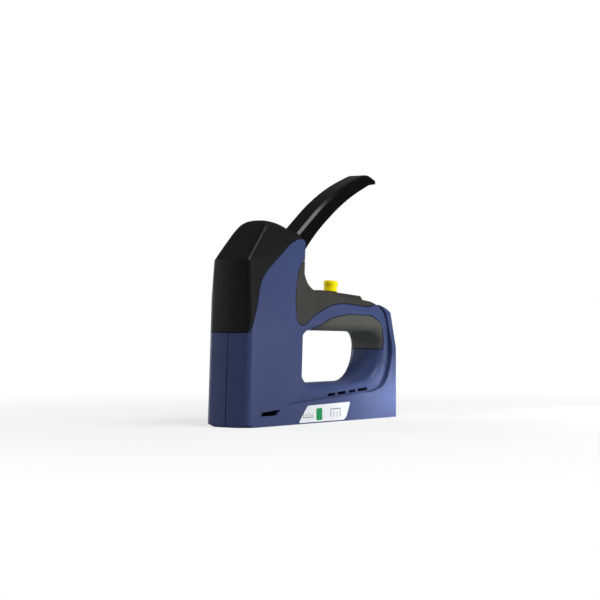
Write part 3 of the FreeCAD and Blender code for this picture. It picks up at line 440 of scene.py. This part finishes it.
def rounded_outline(corners, steps=6):
    """Points of a flat outline given as (station, height, corner radius)."""
    points = []
    count = len(corners)
    for index, (a, b, radius) in enumerate(corners):
        corner = Vector((a, b))
        back = (Vector(corners[index - 1][:2]) - corner).normalized()
        forth = (Vector(corners[(index + 1) % count][:2]) - corner).normalized()
        half = back.angle(forth) / 2
        centre = corner + (back + forth).normalized() * (radius / math.sin(half))
        start = corner + back * (radius / math.tan(half)) - centre
        end = corner + forth * (radius / math.tan(half)) - centre
        turn = start.angle_signed(end)
        for step in range(steps + 1):
            angle = -turn * step / steps
            cosine, sine = math.cos(angle), math.sin(angle)
            points.append(centre + Vector((start.x * cosine - start.y * sine,
                                           start.x * sine + start.y * cosine)))
    return points


def pushed_piece(name, outlines, push, material):
    """A thin piece of the root body, made by pushing closed outlines along a vector."""
    mesh = bpy.data.meshes.new(name)
    form = bmesh.new()
    for points in outlines:
        face = form.faces.new([form.verts.new(point) for point in points])
        raised = bmesh.ops.extrude_face_region(form, geom=[face])["geom"]
        verts = [v for v in raised if isinstance(v, bmesh.types.BMVert)]
        bmesh.ops.translate(form, verts=verts, vec=push)
    bmesh.ops.recalc_face_normals(form, faces=form.faces)
    form.to_mesh(mesh)
    form.free()
    piece = bpy.data.objects.new(name, mesh)
    bpy.context.scene.collection.objects.link(piece)
    mesh.materials.append(material)
    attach(piece, "root")
    return piece


def flat_piece(name, outlines, lift, thickness, material):
    """Thin printed shapes standing proud of the left flank by a lift and a thickness in mm."""
    low = LEFT_FACE / MM - lift
    return pushed_piece(name, [[at(a, low, b) for a, b in points] for points in outlines],
                        (0, -thickness * MM, 0), material)


def strip(a0, b0, a1, b1, width):
    """Outline of a straight printed line between two points."""
    direction = (Vector((a1, b1)) - Vector((a0, b0))).normalized() * (width / 2)
    side = Vector((-direction.y, direction.x))
    start, end = Vector((a0, b0)), Vector((a1, b1))
    return [start - side, end - side, end + side, start + side]


label_outline = [(54.3, 0.9, 0.6), (65.0, 13.0, 4.0), (116.3, 13.9, 1.0), (110.5, 0.9, 6.0)]
flat_piece("side_label", [rounded_outline(label_outline)], 0.0, LABEL_THICKNESS,
           label_white)
flat_piece("label_block", [rounded_outline([(75.0, 2.0, 0.8), (75.0, 10.6, 0.8),
                                            (82.0, 10.8, 0.8), (82.0, 2.0, 0.8)], 3)],
           LABEL_THICKNESS, BLOCK_THICKNESS, label_green)
gauge_marks = [strip(60.0 + 2.2 * i, 4.6, 60.0 + 2.2 * i, 6.8 + 1.2 * (i % 3 == 0), 0.45)
               for i in range(6)]
gauge_marks.append(strip(59.6, 4.4, 72.0, 4.4, 0.35))
staple_picture = [strip(92, 9.4, 104, 9.6, 0.6), strip(92.3, 9.6, 92.3, 3.4, 0.6),
                  strip(103.7, 9.8, 103.7, 3.4, 0.6), strip(96.0, 7.6, 96.0, 3.2, 0.4),
                  strip(100.0, 7.6, 100.0, 3.2, 0.4)]
flat_piece("label_marks", gauge_marks + staple_picture, LABEL_THICKNESS, INK_THICKNESS,
           label_ink)

# Faint raised line where the nose's flank starts to narrow towards the crown.
crease = flat_piece("flank_crease", [strip(46.5, 93.5, 16.0, 70.5, 0.45)], -0.02, 0.1,
                    body_plastic)
for vert in crease.data.vertices:
    above = max(0.0, vert.co.z / MM - TAPER_START)
    vert.co.y += NOSE_TAPER * MM * above / (BROW_HEIGHT - TAPER_START)

# Lips on both sides of the lever that close the open seam between saddle and body.
lip_outline = [(65.5, 15.3), (66.93, 15.03), (69.1, 11.35), (69.82, 9.6), (68.5, 9.6),
               (67.3, 10.8), (67.3, 13.2), (67.0, 13.95), (65.5, 14.15)]
pushed_piece("seam_lip", [[at(station, side * across, SEAM_LOW) for station, across in lip_outline]
                          for side in (-1, 1)],
             (0, 0, (SEAM_HIGH - SEAM_LOW) * MM), black_trim)


# ---- studio -------------------------------------------------------------------------------

def soft_light(name, place, aim, size, power, mirrored=True, beam=180.0):
    """A softbox at a place in metres, turned to shine at a point, with a beam in degrees."""
    data = bpy.data.lights.new(name, "AREA")
    data.shape = "RECTANGLE"
    data.spread = math.radians(beam)
    data.size, data.size_y = size
    data.energy = power
    light = bpy.data.objects.new(name, data)
    light.location = place
    light.visible_camera = False
    light.visible_glossy = mirrored
    light.rotation_euler = (Vector(aim) - Vector(place)).to_track_quat("-Z", "Y").to_euler()
    bpy.context.scene.collection.objects.link(light)


def pale_world(ambient, glossy):
    """White to the camera, and dimmer as a source of light and in mirrored rays."""
    world = bpy.data.worlds.new("studio")
    bpy.context.scene.world = world
    world.use_nodes = True
    nodes, links = world.node_tree.nodes, world.node_tree.links
    background = nodes["Background"]
    background.inputs["Color"].default_value = (1.0, 1.0, 1.0, 1.0)
    path = nodes.new("ShaderNodeLightPath")
    shiny = nodes.new("ShaderNodeMath")
    shiny.operation = "MAXIMUM"
    links.new(path.outputs["Is Glossy Ray"], shiny.inputs[0])
    links.new(path.outputs["Is Transmission Ray"], shiny.inputs[1])
    for_gloss = nodes.new("ShaderNodeMath")
    for_gloss.operation = "MULTIPLY_ADD"
    links.new(shiny.outputs[0], for_gloss.inputs[0])
    for_gloss.inputs[1].default_value = glossy - ambient
    for_gloss.inputs[2].default_value = ambient
    strength = nodes.new("ShaderNodeMath")
    strength.operation = "MAXIMUM"
    links.new(path.outputs["Is Camera Ray"], strength.inputs[0])
    links.new(for_gloss.outputs[0], strength.inputs[1])
    links.new(strength.outputs[0], background.inputs["Strength"])


def pale_floor(size, near_glow, near, far):
    """White floor: plain white to the camera, apart from the shadow close to the object."""
    mesh = bpy.data.meshes.new("floor")
    half = size / 2
    mesh.from_pydata([(-half, -half, 0), (half, -half, 0), (half, half, 0), (-half, half, 0)],
                     [], [(0, 1, 2, 3)])
    floor = bpy.data.objects.new("floor", mesh)
    bpy.context.scene.collection.objects.link(floor)
    material = bpy.data.materials.new("floor_white")
    material.use_nodes = True
    nodes, links = material.node_tree.nodes, material.node_tree.links
    shader = nodes["Principled BSDF"]
    shader.inputs["Base Color"].default_value = (0.82, 0.82, 0.82, 1.0)
    shader.inputs["Roughness"].default_value = 0.9
    shader.inputs["Specular IOR Level"].default_value = 0.1
    white = nodes.new("ShaderNodeEmission")
    path = nodes.new("ShaderNodeLightPath")
    place = nodes.new("ShaderNodeTexCoord")
    distance = nodes.new("ShaderNodeVectorMath")
    distance.operation = "LENGTH"
    glow = nodes.new("ShaderNodeMapRange")
    glow.interpolation_type = "SMOOTHSTEP"
    glow.inputs["From Min"].default_value = near
    glow.inputs["From Max"].default_value = far
    glow.inputs["To Min"].default_value = near_glow
    amount = nodes.new("ShaderNodeMath")
    amount.operation = "MULTIPLY"
    mix = nodes.new("ShaderNodeMixShader")
    links.new(place.outputs["Object"], distance.inputs[0])
    links.new(distance.outputs["Value"], glow.inputs["Value"])
    links.new(glow.outputs["Result"], amount.inputs[0])
    links.new(path.outputs["Is Camera Ray"], amount.inputs[1])
    links.new(amount.outputs[0], mix.inputs["Fac"])
    links.new(shader.outputs[0], mix.inputs[1])
    links.new(white.outputs[0], mix.inputs[2])
    links.new(mix.outputs[0], nodes["Material Output"].inputs["Surface"])
    mesh.materials.append(material)


def photo_camera():
    """Low, long view of the nose and the left flank."""
    data = bpy.data.cameras.new("camera")
    data.sensor_width = 36.0
    data.lens = CAMERA_LENS
    data.clip_end = 100.0
    camera = bpy.data.objects.new("camera", data)
    camera.location = Vector(CAMERA_PLACE) * MM
    camera.rotation_euler = Vector(CAMERA_AIM).to_track_quat("-Z", "Y").to_euler()
    bpy.context.scene.collection.objects.link(camera)
    bpy.context.scene.camera = camera


bpy.context.scene.view_settings.view_transform = "Standard"
pale_world(ambient=0.12, glossy=0.14)
pale_floor(size=60.0, near_glow=0.7, near=0.10, far=0.55)
soft_light("light_right", (0.15, -0.38, 0.07), (0.04, 0.0, 0.07), (0.2, 0.1), 0.42)
soft_light("light_rear", (0.28, -0.17, 0.06), (0.08, -0.02, 0.05), (0.12, 0.10), 0.25,
           mirrored=False)
soft_light("light_low", (0.24, -0.22, 0.03), (0.083, -0.02, 0.016), (0.05, 0.02), 0.018,
           mirrored=False, beam=16.0)
soft_light("light_left", (-0.26, 1.06, 0.22), (0.0, 0.0, 0.09), (0.4, 0.8), 8.0)
soft_light("light_top", (-0.03, -0.52, 0.94), (0.0, 0.0, 0.09), (0.6, 0.30), 8.0)
photo_camera()
